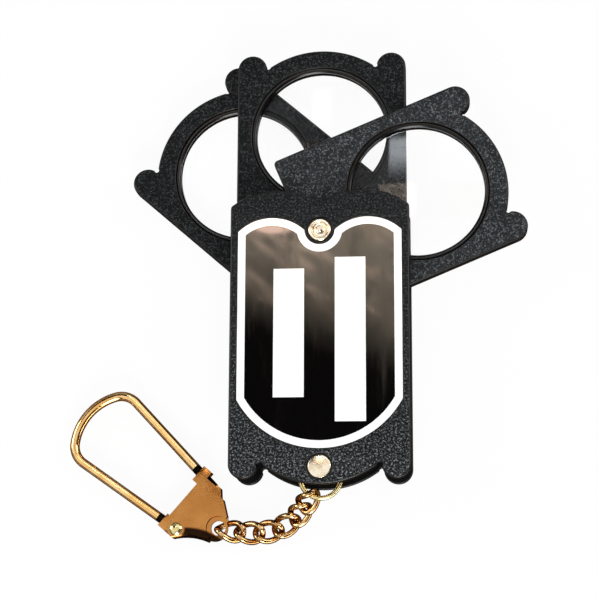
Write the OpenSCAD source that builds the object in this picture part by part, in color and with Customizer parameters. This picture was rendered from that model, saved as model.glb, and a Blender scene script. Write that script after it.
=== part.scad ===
// Folding pocket loupe: three lens frames fan out of a two-cover case on one rivet,
// and a curb chain hangs from a second rivet and ends in a riveted wire snap.
// Millimetres. The loupe lies on its back cover: +Z out of the front cover, +Y towards
// the pivot rivet, and the origin on the back face under the centre of the closed lenses.

/* [Case] */
// Half the width of both covers
case_half_w = 18.5; // [18.3:0.1:21]
// Thickness of one cover
cover_t = 1.8; // [1.5:0.1:2.4]
// Radius of the covers' two upper corners
case_corner_r = 1.0; // [0.5:0.1:1.6]
// Crest of the two bumps above the pivot
bump_rise = 8.5; // [7.8:0.1:9.2]
// Sideways place of each bump's crest
bump_x = 8.7; // [8:0.1:9.6]
// Radius of each bump
bump_r = 16.2; // [15.6:0.1:18]
// Centre of the two lower lobes below the pivot
lobe_drop = 48.4; // [47.4:0.2:51]
// Radius of the lower lobes
lobe_r = 3.0; // [2.6:0.1:3.4]
// How far the end arc reaches below the centres of the lobes
end_rise = 4.1; // [3.7:0.1:6]
// Radius of the end arc
end_arc_r = 19.3; // [18.5:0.1:21]
// Radius of the small hollow between a lobe and the end arc
hollow_r = 0.6; // [0.4:0.05:0.8]

/* [Label] */
// Half the width of the label
label_half_w = 16.9; // [15:0.1:17.2]
// Thickness of the label sheet
label_t = 0.25; // [0.15:0.05:0.35]
// Height of the printed border and panels over the sheet
print_t = 0.05; // [0.03:0.01:0.1]
// Depth of the label's recess in the front cover
label_recess = 0.4; // [0.35:0.05:0.6]
// Gap between the label and the edge of its recess
label_gap = 0.12; // [0.05:0.01:0.2]
// Width of the label's border
border_w = 1.6; // [1:0.1:2.2]
// Radius of the label's two upper bumps
label_bump_r = 10.0; // [9:0.5:12]
// Sideways place of each of the label's bumps
label_bump_x = 9.9; // [9:0.1:10.5]
// Crest of the label's bumps above the pivot
label_top = 2.6; // [1.4:0.1:3]
// Radius of the label's hollow round the pivot rivet
label_notch_r = 3.1; // [3:0.1:3.8]
// Distance of the label's lowest point above the end of the case
label_inset = 7.2; // [6.9:0.1:10]
// Radius of the label's lower end
label_arc_r = 19.3; // [18.5:0.1:22]
// Width of a blank panel on the label
panel_w = 6.3; // [4:0.1:8]
// Length of the left panel
panel_left_len = 26.7; // [15:0.1:28]
// Length of the right panel
panel_right_len = 34.0; // [20:0.1:34.6]
// Top of the left panel below the pivot
panel_left_top = 8.2; // [7:0.1:10]
// Top of the right panel below the pivot
panel_right_top = 5.9; // [5.5:0.1:7]
// Middle of each panel to the left and right of the label's middle
panel_x = 6.3; // [5.6:0.1:7.4]

/* [Lens frames] */
// Distance from the pivot to a lens centre
lens_throw = 22.0; // [21.6:0.1:22.6]
// Half the width of a lens frame
frame_half_w = 17.9; // [17.2:0.1:18.1]
// Thickness of a lens frame
frame_t = 2.8; // [2.7:0.1:3.4]
// Length of a frame behind the pivot
frame_tail = 3.3; // [3:0.1:4.4]
// Corner radius of a frame's near end
frame_corner_r = 0.9; // [0.4:0.1:1.4]
// Radius of a frame's outer end
frame_arc_r = 19.6; // [18.6:0.1:20.4]
// Distance from the pivot to a frame's outer end
frame_reach = 40.6; // [40.2:0.1:40.9]
// Distance from the pivot to the centres of a frame's two ears
ear_x = 36.8; // [36.3:0.1:37.1]
// Radius of a frame's two ears
ear_r = 3.1; // [2.8:0.1:3.3]
// Direction of the front frame, from +X towards +Y
front_angle = 22.7; // [5:0.1:60]
// Direction of the middle frame
middle_angle = 90; // [75:1:105]
// Direction of the rear frame
rear_angle = 139; // [120:1:175]

/* [Lenses] */
// Radius of each lens
lens_r = 14.7; // [13.9:0.1:15]
// Radius of the clear opening
clear_r = 13.8; // [12:0.1:13.8]
// Gap between a lens or its ring and the frame's bore
seat_gap = 0.1; // [0.05:0.01:0.15]
// Thickness of the ledge that a lens rests on
ledge_t = 0.95; // [0.8:0.05:1]
// Edge thickness of each lens
lens_edge = 0.8; // [0.6:0.05:0.8]
// Bulge of each face of the front lens
front_bulge = 0.85; // [0.4:0.05:0.9]
// Bulge of each face of the middle lens
middle_bulge = 0.75; // [0.4:0.05:0.9]
// Bulge of each face of the rear lens
rear_bulge = 0.65; // [0.4:0.05:0.9]
// Thickness of the ring that holds a lens in
retainer_t = 0.8; // [0.5:0.05:0.85]

/* [Rivets] */
// Shank radius of the pivot rivet
pivot_r = 1.5; // [1.2:0.1:1.7]
// Head radius of the pivot rivet
pivot_head_r = 2.4; // [2.2:0.05:2.5]
// Shank radius of the post rivet
post_r = 1.0; // [0.8:0.05:1.2]
// Head radius of the post rivet
post_head_r = 2.3; // [2:0.05:2.5]
// Distance of the post rivet above the end of the case
post_inset = 3.6; // [3.1:0.1:4.2]
// Thickness of the rivet heads
head_t = 0.55; // [0.4:0.05:0.7]
// Depth of the recess round a rivet head
head_recess = 0.65; // [0.6:0.05:0.8]
// Gap between a rivet head and the wall of its recess
head_gap = 0.35; // [0.2:0.05:0.5]
// Radial play between a shank and its hole
shank_play = 0.05; // [0.02:0.01:0.08]
// Outer radius of the spacer sleeve on the post rivet
sleeve_r = 1.75; // [1.5:0.05:2]
// Thickness of one friction washer
washer_t = 0.15; // [0.1:0.05:0.3]
// Outer radius of a friction washer
washer_r = 3.0; // [2.6:0.1:3.2]

/* [Ring and chain] */
// Middle radius of the jump ring
ring_r = 4.1; // [3.9:0.05:4.4]
// Wire diameter of the jump ring
ring_wire = 1.0; // [0.8:0.05:1.1]
// Turn of the jump ring about the post rivet
ring_turn = 4.5; // [0:0.5:12]
// Height of the jump ring's middle over the table
ring_z = 7.0; // [7:0.05:7.2]
// Direction in which the first link leaves the ring
ring_contact = 240.5; // [238:0.5:243]
// Play between touching pieces of the chain
chain_play = 0.05; // [0.04:0.01:0.08]
// Length of one link
link_len = 6.7; // [6.4:0.1:7]
// Width of one link
link_w = 5.0; // [4.8:0.1:5.6]
// Wire diameter of one link
link_wire = 1.25; // [1:0.05:1.25]
// Slack at each joint between two links
link_slack = 0.2; // [0.15:0.05:0.3]
// Twist of each link's ends against its middle
link_twist = 50; // [45:1:52]

/* [Snap] */
// Thickness of the folded plate
plate_t = 3.0; // [2.95:0.05:3.6]
// Thickness of the plate's sheet metal
sheet_t = 0.45; // [0.3:0.05:0.45]
// Radius of the chain hole in the plate
chain_hole_r = 1.5; // [1.45:0.05:1.6]
// Wire diameter of the snap loop
loop_wire = 2.0; // [1.5:0.05:2]
// Reach of the loop's middle line from the snap rivet
loop_len = 30.2; // [25:0.1:36]
// Spacing of the loop's two legs at the snap rivet
leg_gap = 11.5; // [11.3:0.05:11.6]
// Outward lean of each leg
leg_lean = 6.1; // [5.8:0.1:6.3]
// Bend radius of the loop's two far corners
loop_corner_r = 4.4; // [3:0.1:5.5]
// Half the angle that the loop's far arc spans
far_half_angle = 34; // [28:1:40]
// Shank radius of the snap rivet
snap_rivet_r = 0.8; // [0.6:0.05:0.9]
// Head radius of the snap rivet
snap_head_r = 1.35; // [1.2:0.05:1.5]
// Height of a snap rivet head over the plate
snap_head_t = 0.5; // [0.3:0.05:0.5]
// Direction of the snap's loop, from +X towards +Y
snap_heading = 139.1; // [130:0.1:145]

/* [Hidden] */
$fn = 96;

// Heights of the stack over the table
pivot_y = lens_throw;
rear_z = cover_t + washer_t;
layer = frame_t + washer_t;
middle_z = rear_z + layer;
front_z = middle_z + layer;
lid_z = front_z + layer;
top_z = lid_z + cover_t;

// Places that follow the end of the case, below the pivot
case_end = lobe_drop + end_rise;
label_end = case_end - label_inset;
post_drop = case_end - post_inset;

// Construction of the case outline, seen from the pivot
bump_y = bump_rise - bump_r;
corner_x = case_half_w - case_corner_r;
corner_lap = 0.02;
corner_reach = bump_r - case_corner_r + corner_lap;
corner_y = bump_y + sqrt(pow(corner_reach, 2) - pow(corner_x - bump_x, 2));
blend_x = bump_x + bump_r * (corner_x - bump_x) / corner_reach;
lobe_x = case_half_w - lobe_r;
hollow_lap = 0.2;
hollow_x = case_half_w - 2 * lobe_r - hollow_r + hollow_lap;
hollow_y = hollow_r / 2 + lobe_drop;
end_arc_y = end_arc_r - case_end;

// Construction of a lens frame
ear_y = frame_half_w - ear_r;
nick_r = 0.5;
nick_lift = 0.15;
nick_y = ear_y - ear_r - nick_r / 2;
tip_half_w = ear_y - ear_r - nick_r;
nick_x = frame_reach - frame_arc_r + sqrt(pow(frame_arc_r, 2) - pow(nick_y, 2)) + nick_lift;
seat_r = lens_r + seat_gap;
lens_z = ledge_t;
retainer_lift = 0.1;
retainer_z = ledge_t + lens_edge + retainer_lift;
bulge_r = clear_r - seat_gap;
hole_r = pivot_r + shank_play;

// Rolled end of the pivot rivet
rim_r = 0.4;
dish_r = 0.9;
bar_w = 0.5;

// Links, from the jump ring to the snap: direction, fall and roll in degrees
link_count = 6;
link_heads = [233.5, 226.5, 211.5, 189.5, 177.5, 172.5];
link_falls = [42, 38, 9, -3, -5, -5];
link_rolls = [-26, -15, -16, -8, 8, 27];
link_pitch = link_len - 2 * link_wire - link_slack;
link_power = 2 / 2.6;
link_rings = 28;
link_sides = 8;

// Jump ring, held by the sleeve of the post rivet
ring_reach = ring_r - ring_wire / 2 - sleeve_r - chain_play;
ring_c = [-ring_reach * sin(ring_turn), -post_drop - ring_reach * cos(ring_turn), ring_z];
chain_start = ring_c + ring_r * [cos(ring_contact), sin(ring_contact), 0];
first_reach = link_len / 2 - link_wire - ring_wire / 2 - chain_play;

function link_dir(i) = [
    cos(link_heads[i]) * cos(link_falls[i]),
    sin(link_heads[i]) * cos(link_falls[i]),
    -sin(link_falls[i])
];
function link_at(i) = i == 0
    ? chain_start + first_reach * link_dir(0)
    : link_at(i - 1) + link_pitch / 2 * (link_dir(i - 1) + link_dir(i));
function link_end(i) = link_at(i) + link_pitch / 2 * link_dir(i);

// Plate of the snap, seen from the snap rivet with the loop pointing up
plate_mid_z = 2.5;
plate_z = plate_mid_z - plate_t / 2;
lug_t = 0.8;
lug_r = 2.7;
lug_lead = 0.5;
step_r = 2.4;
step_wall = 0.7;
hole_x = 5.85;
hole_y = -6.45;
hole_shift = [-0.4, 0.3];
hole_at = [link_end(link_count - 1)[0], link_end(link_count - 1)[1]] + hole_shift;
snap_turn = snap_heading - 90;
snap_at = [
    hole_at[0] - hole_x * cos(snap_turn) + hole_y * sin(snap_turn),
    hole_at[1] - hole_x * sin(snap_turn) - hole_y * cos(snap_turn)
];
bay_r = 11.4;
bay_x = -8.6;
bay_y = -10.08;
fold_r = 0.9;
collar_x = 1.8;
collar_w = 3.1;
collar_y = 3.35;
mouth_y = 2.82;
tab_y = 4.1;
tab_w = 3.7;
wire_room = 0.55;
tab_x = leg_gap + loop_wire / 2 + wire_room + sheet_t;
window_x = leg_gap + 0.45;
window_top = 2.0;
window_low = -0.5;
side_x = leg_gap + 0.8;
side_y = -1.55;
neck_x = 10.9;
neck_y = -2.9;
neck_low = -3.5;
heel_x = 8.3;
heel_y = -7.1;
toe_x = 2.7;
toe_y = -7.0;
open_y = -0.4;

// Loop of the snap
leg_half = leg_gap / 2;
loop_slope = tan(leg_lean);
far_reach = loop_len - loop_corner_r;
far_m = (leg_half + loop_slope * far_reach - loop_corner_r / cos(leg_lean))
    / (sin(far_half_angle) + loop_slope * (1 - cos(far_half_angle)));
far_r = far_m + loop_corner_r;
far_y = loop_len - far_r;
bend_x = far_m * sin(far_half_angle);
bend_y = far_y + far_m * cos(far_half_angle);
eye_r = 1.35;
eye_t = 1.2;
leg_start = 1.25;
leg_tail = 0.35;
loop_sides = 12;
bend_steps = 7;
far_steps = 8;

// Places a child that is drawn round the pivot at the origin
module at_pivot(z) {
    translate([0, pivot_y, z]) children();
}

// Places a child that is drawn round the snap rivet with the loop along +Y
module at_snap(z) {
    translate([snap_at[0], snap_at[1] + pivot_y, z]) rotate([0, 0, snap_turn]) children();
}

module case_outline() {
    difference() {
        union() {
            for (s = [-1, 1]) {
                intersection() {
                    translate([s * bump_x, bump_y]) circle(bump_r);
                    translate([-blend_x, 0]) square([2 * blend_x, bump_rise + 1]);
                }
                translate([s * corner_x, corner_y]) circle(case_corner_r);
                translate([s * (case_half_w - case_corner_r / 2) - case_corner_r / 2, -lobe_drop])
                    square([case_corner_r, lobe_drop + corner_y]);
                translate([s * lobe_x, -lobe_drop]) circle(lobe_r);
            }
            translate([-case_half_w, -lobe_drop]) square([2 * case_half_w, lobe_drop]);
            intersection() {
                translate([0, end_arc_y]) circle(end_arc_r);
                translate([-hollow_x, -case_end - 1]) square([2 * hollow_x, end_arc_r]);
            }
        }
        for (s = [-1, 1])
            translate([s * hollow_x, -hollow_y]) circle(hollow_r);
    }
}

// The label's outline, moved in by an inset
module label_outline(inset) {
    half = label_half_w - inset;
    base_y = label_top - label_bump_r;
    notch = label_notch_r + inset;
    arc_y = label_arc_r - label_end;
    difference() {
        intersection() {
            union() {
                for (s = [-1, 1])
                    translate([s * label_bump_x, base_y]) circle(label_bump_r - inset);
                translate([-notch * 0.6, base_y - 1]) square([notch * 1.2, 1 - base_y - notch * 0.75]);
                translate([-half, -label_end]) square([2 * half, label_end + base_y]);
            }
            union() {
                translate([-half, arc_y]) square([2 * half, label_top - inset - arc_y + 1]);
                intersection() {
                    translate([0, arc_y]) circle(label_arc_r - inset);
                    translate([-half, -label_end - 1]) square([2 * half, label_end + arc_y + 2]);
                }
            }
        }
        circle(notch);
    }
}

// Holes of a cover for both rivets, with the recesses for their heads at one face
module rivet_holes(face_z, low_z) {
    for (h = [[0, pivot_r, pivot_head_r], [post_drop, post_r, post_head_r]]) {
        translate([0, -h[0], low_z - 1]) cylinder(r = h[1] + shank_play, h = cover_t + 2);
        translate([0, -h[0], face_z]) cylinder(r = h[2] + head_gap, h = head_recess + 1);
    }
}

module back_cover() {
    color("#26282a") at_pivot(0) difference() {
        linear_extrude(cover_t) case_outline();
        rivet_holes(-1, 0);
    }
}

module front_cover() {
    color("#2b2d2f") at_pivot(0) difference() {
        translate([0, 0, lid_z]) linear_extrude(cover_t) case_outline();
        rivet_holes(top_z - head_recess, lid_z);
        translate([0, 0, top_z - label_recess]) linear_extrude(label_recess + 1)
            label_outline(-label_gap);
    }
}

// A blank panel of the label, drawn from its top edge down
module panel(x, top, length) {
    translate([x - panel_w / 2, -top - length]) square([panel_w, length]);
}

module label_plate() {
    sheet_z = top_z - label_recess;
    color("#1c1a19") at_pivot(sheet_z) linear_extrude(label_t) label_outline(0);
    color("white") at_pivot(sheet_z + label_t) linear_extrude(print_t) {
        difference() {
            label_outline(0);
            label_outline(border_w);
        }
        panel(-panel_x, panel_left_top, panel_left_len);
        panel(panel_x, panel_right_top, panel_right_len);
    }
}

module pivot_rivet() {
    floor_z = top_z - head_recess;
    color("#f1dfbd") at_pivot(0) {
        translate([0, 0, head_recess - head_t]) cylinder(r = pivot_head_r, h = head_t);
        translate([0, 0, head_recess - 0.1]) cylinder(r = pivot_r, h = floor_z - head_recess + 0.2);
        difference() {
            union() {
                translate([0, 0, floor_z]) cylinder(r = pivot_head_r, h = head_t - rim_r);
                translate([0, 0, floor_z]) rotate_extrude() intersection() {
                    translate([pivot_head_r - rim_r, head_t - rim_r]) circle(rim_r);
                    square([pivot_head_r + 1, 2 * head_t]);
                }
                translate([0, 0, floor_z]) cylinder(r = pivot_head_r - rim_r, h = head_t - 0.1);
            }
            difference() {
                translate([0, 0, floor_z + 0.15]) cylinder(r = dish_r, h = head_t);
                translate([-bar_w / 2, -dish_r, floor_z]) cube([bar_w, 2 * dish_r, head_t - 0.2]);
            }
        }
    }
}

module post_rivet() {
    shank = top_z - 2 * head_recess;
    color("#efe4cf") at_pivot(0) translate([0, -post_drop, 0]) {
        translate([0, 0, head_recess - head_t]) cylinder(r = post_head_r, h = head_t);
        translate([0, 0, head_recess - 0.1]) cylinder(r = post_r, h = shank + 0.2);
        translate([0, 0, head_recess + shank]) cylinder(r = post_head_r, h = head_t);
    }
}

module spacer_sleeve() {
    color("#cdb98a") at_pivot(cover_t) translate([0, -post_drop, 0]) difference() {
        cylinder(r = sleeve_r, h = lid_z - cover_t);
        translate([0, 0, -1]) cylinder(r = post_r + shank_play, h = lid_z - cover_t + 2);
    }
}

module washer(z) {
    color("#d9c79a") at_pivot(z) difference() {
        cylinder(r = washer_r, h = washer_t);
        translate([0, 0, -1]) cylinder(r = hole_r, h = washer_t + 2);
    }
}

module friction_washer_rear() {
    washer(cover_t);
}

module friction_washer_lower() {
    washer(rear_z + frame_t);
}

module friction_washer_upper() {
    washer(middle_z + frame_t);
}

module friction_washer_front() {
    washer(front_z + frame_t);
}

module frame_outline() {
    difference() {
        union() {
            translate([-frame_tail, frame_corner_r - frame_half_w])
                square([frame_tail + ear_x, 2 * (frame_half_w - frame_corner_r)]);
            translate([frame_corner_r - frame_tail, -frame_half_w])
                square([frame_tail + ear_x - frame_corner_r, 2 * frame_half_w]);
            for (s = [-1, 1]) {
                translate([frame_corner_r - frame_tail, s * (frame_half_w - frame_corner_r)])
                    circle(frame_corner_r);
                translate([ear_x, s * ear_y]) circle(ear_r);
            }
            intersection() {
                translate([frame_reach - frame_arc_r, 0]) circle(frame_arc_r);
                translate([lens_throw, -tip_half_w]) square([frame_reach, 2 * tip_half_w]);
            }
        }
        for (s = [-1, 1])
            translate([nick_x, s * nick_y]) circle(nick_r);
    }
}

module lens_frame() {
    difference() {
        linear_extrude(frame_t) frame_outline();
        translate([0, 0, -1]) cylinder(r = hole_r, h = frame_t + 2);
        translate([lens_throw, 0, -1]) cylinder(r = clear_r, h = frame_t + 2);
        translate([lens_throw, 0, ledge_t]) cylinder(r = seat_r, h = frame_t);
    }
}

module lens_frame_front() {
    color("#222426") at_pivot(front_z) rotate([0, 0, front_angle]) lens_frame();
}

module lens_frame_middle() {
    color("#222426") at_pivot(middle_z) rotate([0, 0, middle_angle]) lens_frame();
}

module lens_frame_rear() {
    color("#222426") at_pivot(rear_z) rotate([0, 0, rear_angle]) lens_frame();
}

// A lens that bulges on both faces, with a flat margin to be held by
module lens(bulge) {
    r = (pow(bulge_r, 2) + pow(bulge, 2)) / (2 * bulge);
    translate([lens_throw, 0, lens_z]) rotate_extrude() {
        square([lens_r, lens_edge]);
        intersection() {
            translate([0, lens_edge + bulge - r]) circle(r, $fn = 1440);
            translate([0, lens_edge]) square([lens_r, 2 * bulge]);
        }
        intersection() {
            translate([0, r - bulge]) circle(r, $fn = 1440);
            translate([0, -2 * bulge]) square([lens_r, 2 * bulge]);
        }
    }
}

module lens_front() {
    color("#dfe6ea", 0.4) at_pivot(front_z) rotate([0, 0, front_angle]) lens(front_bulge);
}

module lens_middle() {
    color("#dfe6ea", 0.4) at_pivot(middle_z) rotate([0, 0, middle_angle]) lens(middle_bulge);
}

module lens_rear() {
    color("#dfe6ea", 0.4) at_pivot(rear_z) rotate([0, 0, rear_angle]) lens(rear_bulge);
}

module retaining_ring() {
    translate([lens_throw, 0, retainer_z]) difference() {
        cylinder(r = lens_r, h = retainer_t);
        translate([0, 0, -1]) cylinder(r = clear_r, h = retainer_t + 2);
    }
}

module retaining_ring_front() {
    color("#3a3c3e") at_pivot(front_z) rotate([0, 0, front_angle]) retaining_ring();
}

module retaining_ring_middle() {
    color("#3a3c3e") at_pivot(middle_z) rotate([0, 0, middle_angle]) retaining_ring();
}

module retaining_ring_rear() {
    color("#3a3c3e") at_pivot(rear_z) rotate([0, 0, rear_angle]) retaining_ring();
}

module jump_ring() {
    color("#ece3b4") at_pivot(0) translate(ring_c) rotate_extrude()
        translate([ring_r, 0]) circle(ring_wire / 2);
}

// Middle line of a twisted link at the angle t, about its own centre
function signed_pow(v) = sign(v) * pow(abs(v), link_power);
function link_point(t, roll) =
    let (
        x = signed_pow(cos(t)) * (link_len - link_wire) / 2,
        y = signed_pow(sin(t)) * (link_w - link_wire) / 2,
        a = link_twist * signed_pow(cos(t)) + roll
    )
    [x, y * cos(a), y * sin(a)];
function unit(v) = v / norm(v);
function link_ring(t, roll) =
    let (
        p = link_point(t, roll),
        d = unit(link_point(t + 0.5, roll) - link_point(t - 0.5, roll)),
        n = unit(p - (p * d) * d),
        b = cross(d, n)
    )
    [
        for (j = [0 : link_sides - 1])
            let (a = 360 * j / link_sides)
            p + link_wire / 2 * (cos(a) * n + sin(a) * b)
    ];

// A closed tube through the rings of a link
module link(i) {
    half_step = 180 / link_rings;
    points = [
        for (k = [0 : link_rings - 1])
            each link_ring(360 * k / link_rings + half_step, link_rolls[i])
    ];
    faces = [
        for (k = [0 : link_rings - 1])
            for (j = [0 : link_sides - 1])
                let (
                    k2 = (k + 1) % link_rings,
                    j2 = (j + 1) % link_sides,
                    a = k * link_sides + j,
                    b = k * link_sides + j2,
                    c = k2 * link_sides + j2,
                    d = k2 * link_sides + j
                )
                each [[a, c, b], [a, d, c]]
    ];
    at_pivot(0) translate(link_at(i)) rotate([0, link_falls[i], link_heads[i]])
        polyhedron(points = points, faces = faces);
}

module chain_link_1() {
    color("#c99a5a") link(0);
}

module chain_link_2() {
    color("#c99a5a") link(1);
}

module chain_link_3() {
    color("#c99a5a") link(2);
}

module chain_link_4() {
    color("#c99a5a") link(3);
}

module chain_link_5() {
    color("#c99a5a") link(4);
}

module chain_link_6() {
    color("#c99a5a") link(5);
}

module plate_outline() {
    polygon([
        [-collar_x, toe_y], [toe_x, toe_y], [heel_x, heel_y], [neck_x, neck_low],
        [neck_x, neck_y], [side_x, side_y], [side_x, window_low], [window_x, window_low],
        [window_x, window_top], [tab_x, window_top], [tab_x, tab_y], [tab_x - tab_w, tab_y],
        [tab_x - tab_w, mouth_y], [collar_w - collar_x, mouth_y],
        [collar_w - collar_x, collar_y], [-collar_x, collar_y]
    ]);
    translate([hole_x - lug_lead, hole_y + lug_lead]) circle(lug_r);
}

// Room inside the folded plate for the legs of the loop
module plate_room() {
    wall = sheet_t;
    difference() {
        polygon([
            [-collar_x - 1, open_y], [0, heel_y], [heel_x - wall, heel_y + wall * 0.3],
            [neck_x - wall, neck_low + wall * 0.3], [neck_x - wall, neck_y + wall * 0.4],
            [side_x - wall, side_y + wall * 0.4], [side_x - wall, window_low],
            [tab_x - wall, window_low], [tab_x - wall, tab_y + 1], [-collar_x - 1, tab_y + 1]
        ]);
        translate([bay_x, bay_y]) circle(bay_r + fold_r);
        translate([hole_x, hole_y]) circle(step_r + step_wall);
    }
}

// What is cut away round the lug to leave it pressed flat
module lug_step() {
    translate([hole_x, hole_y]) circle(step_r);
    translate([hole_x - 2 * lug_r, hole_y - 2 * lug_r]) square([4 * lug_r, 2 * lug_r]);
}

module snap_plate() {
    color("#c89a52") at_snap(plate_z) difference() {
        linear_extrude(plate_t) plate_outline();
        translate([0, 0, sheet_t]) linear_extrude(plate_t - 2 * sheet_t) plate_room();
        translate([0, 0, (plate_t - eye_t) / 2 - 0.05]) cylinder(r = eye_r + 0.1, h = eye_t + 0.1);
        translate([0, 0, -1]) cylinder(r = snap_rivet_r + shank_play, h = plate_t + 2);
        translate([hole_x, hole_y, -1]) cylinder(r = chain_hole_r, h = plate_t + 2);
        translate([0, 0, (plate_t + lug_t) / 2]) linear_extrude(plate_t) lug_step();
        translate([0, 0, -plate_t + (plate_t - lug_t) / 2]) linear_extrude(plate_t) lug_step();
        translate([bay_x, bay_y, 0]) rotate_extrude() difference() {
            translate([0, -1]) square([bay_r + fold_r, plate_t + 2]);
            translate([bay_r + fold_r, plate_t - fold_r]) circle(fold_r);
            translate([bay_r + fold_r, fold_r]) circle(fold_r);
            translate([bay_r, fold_r]) square([fold_r + 1, plate_t - 2 * fold_r]);
        }
    }
}

// Domed head of the snap rivet
module snap_head() {
    r = (pow(snap_head_r, 2) + pow(snap_head_t, 2)) / (2 * snap_head_t);
    intersection() {
        translate([0, 0, snap_head_t - r]) sphere(r);
        cylinder(r = snap_head_r + 1, h = 2 * snap_head_t);
    }
}

module snap_rivet() {
    color("#e6c98a") at_snap(plate_z) {
        translate([0, 0, plate_t]) snap_head();
        mirror([0, 0, 1]) snap_head();
        translate([0, 0, -0.1]) cylinder(r = snap_rivet_r, h = plate_t + 0.2);
    }
}

// Stations along the loop's middle line: place, and direction square to the wire
function arc_stations(x, y, r, from, to, steps) = [
    for (k = [0 : steps])
        let (a = from + (to - from) * k / steps)
        [x + r * cos(a), y + r * sin(a), a]
];
function loop_stations() = concat(
    [[-leg_half - leg_start * loop_slope, leg_start, 180 + leg_lean]],
    arc_stations(-bend_x, bend_y, loop_corner_r, 180 + leg_lean, 90 + far_half_angle, bend_steps),
    [for (k = [1 : far_steps - 1])
        let (a = 90 + far_half_angle - 2 * far_half_angle * k / far_steps)
        [far_r * cos(a), far_y + far_r * sin(a), a]],
    arc_stations(bend_x, bend_y, loop_corner_r, 90 - far_half_angle, -leg_lean, bend_steps),
    [[leg_half - leg_tail * loop_slope, -leg_tail, -leg_lean]]
);

// The loop's wire, as one tube with flat ends
module loop_tube() {
    stations = loop_stations();
    last = len(stations) - 1;
    points = [
        for (p = stations)
            for (j = [0 : loop_sides - 1])
                let (a = 360 * j / loop_sides, w = loop_wire / 2)
                [p[0] + w * cos(a) * cos(p[2]), p[1] + w * cos(a) * sin(p[2]), w * sin(a)]
    ];
    sides = [
        for (k = [0 : last - 1])
            for (j = [0 : loop_sides - 1])
                let (
                    j2 = (j + 1) % loop_sides,
                    a = k * loop_sides + j,
                    b = k * loop_sides + j2,
                    c = b + loop_sides,
                    d = a + loop_sides
                )
                each [[a, c, b], [a, d, c]]
    ];
    start = [for (j = [1 : loop_sides - 2]) [0, j, j + 1]];
    end = [
        for (j = [1 : loop_sides - 2])
            let (a = last * loop_sides)
            [a, a + j + 1, a + j]
    ];
    polyhedron(points = points, faces = concat(sides, start, end));
}

module snap_loop() {
    color("#cf9f63") at_snap(plate_mid_z) difference() {
        union() {
            translate([0, 0, -eye_t / 2]) cylinder(r = eye_r, h = eye_t);
            translate([leg_half, 0, 0]) loop_tube();
        }
        translate([0, 0, -loop_wire]) cylinder(r = snap_rivet_r + shank_play, h = 2 * loop_wire);
    }
}

front_cover();
label_plate();
back_cover();
pivot_rivet();
post_rivet();
spacer_sleeve();
friction_washer_rear();
friction_washer_lower();
friction_washer_upper();
friction_washer_front();
lens_frame_front();
lens_frame_middle();
lens_frame_rear();
lens_front();
lens_middle();
lens_rear();
retaining_ring_front();
retaining_ring_middle();
retaining_ring_rear();
jump_ring();
chain_link_1();
chain_link_2();
chain_link_3();
chain_link_4();
chain_link_5();
chain_link_6();
snap_plate();
snap_rivet();
snap_loop();
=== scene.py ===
# %% [markdown]
# # A folding pocket loupe with a chain and a wire snap
# Three lens frames turn on one rivet between two moulded covers. A curb chain hangs from a
# second rivet and ends in a plate of folded sheet metal that holds a wire loop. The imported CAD
# model is loaded as a fixed frame, and every piece below is made in metres in that same frame.

# %% Load the fixed frame
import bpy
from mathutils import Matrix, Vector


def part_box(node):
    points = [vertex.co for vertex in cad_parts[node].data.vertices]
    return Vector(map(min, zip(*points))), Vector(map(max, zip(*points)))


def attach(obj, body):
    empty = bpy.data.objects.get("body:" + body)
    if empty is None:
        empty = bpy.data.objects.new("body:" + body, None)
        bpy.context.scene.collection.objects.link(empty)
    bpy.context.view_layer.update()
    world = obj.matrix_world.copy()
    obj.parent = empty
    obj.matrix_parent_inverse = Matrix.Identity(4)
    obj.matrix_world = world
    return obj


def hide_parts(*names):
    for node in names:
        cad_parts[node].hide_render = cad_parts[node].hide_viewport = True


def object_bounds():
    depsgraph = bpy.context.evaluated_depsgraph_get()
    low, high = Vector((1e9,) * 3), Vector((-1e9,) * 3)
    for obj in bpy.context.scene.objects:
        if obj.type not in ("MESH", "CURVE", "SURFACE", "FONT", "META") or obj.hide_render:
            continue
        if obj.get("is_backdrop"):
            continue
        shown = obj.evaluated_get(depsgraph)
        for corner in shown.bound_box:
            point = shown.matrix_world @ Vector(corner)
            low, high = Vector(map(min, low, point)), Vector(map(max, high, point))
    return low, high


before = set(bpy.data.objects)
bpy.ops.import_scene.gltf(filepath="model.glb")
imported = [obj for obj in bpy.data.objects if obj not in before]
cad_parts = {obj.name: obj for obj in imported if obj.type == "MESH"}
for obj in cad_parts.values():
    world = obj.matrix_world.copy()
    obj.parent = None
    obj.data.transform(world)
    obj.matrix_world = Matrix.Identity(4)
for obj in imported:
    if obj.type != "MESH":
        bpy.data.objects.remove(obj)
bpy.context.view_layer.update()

# %% [markdown]
# ## Camera
# The photograph looks down on the loupe from the chain's side. A camera is a place and three
# directions, so its matrix is written from two angles and a roll. A long lens about 37 cm away
# keeps the same slight perspective as the photograph. Most sizes are written in millimetres
# here and below, and MM turns them into metres.

# %% Camera
import math

import bmesh
import bpy
from mathutils import Matrix, Vector
from mathutils.geometry import tessellate_polygon

MM = 0.001
CAMERA_AT, FOCAL_LENGTH, SENSOR, NEAREST = (28.586, -68.663, 362.071), 105.7, 36, 0.01


def add_object(name, data):
    """A new object in the scene that shows this data."""
    item = bpy.data.objects.new(name, data)
    bpy.context.scene.collection.objects.link(item)
    return item


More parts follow.
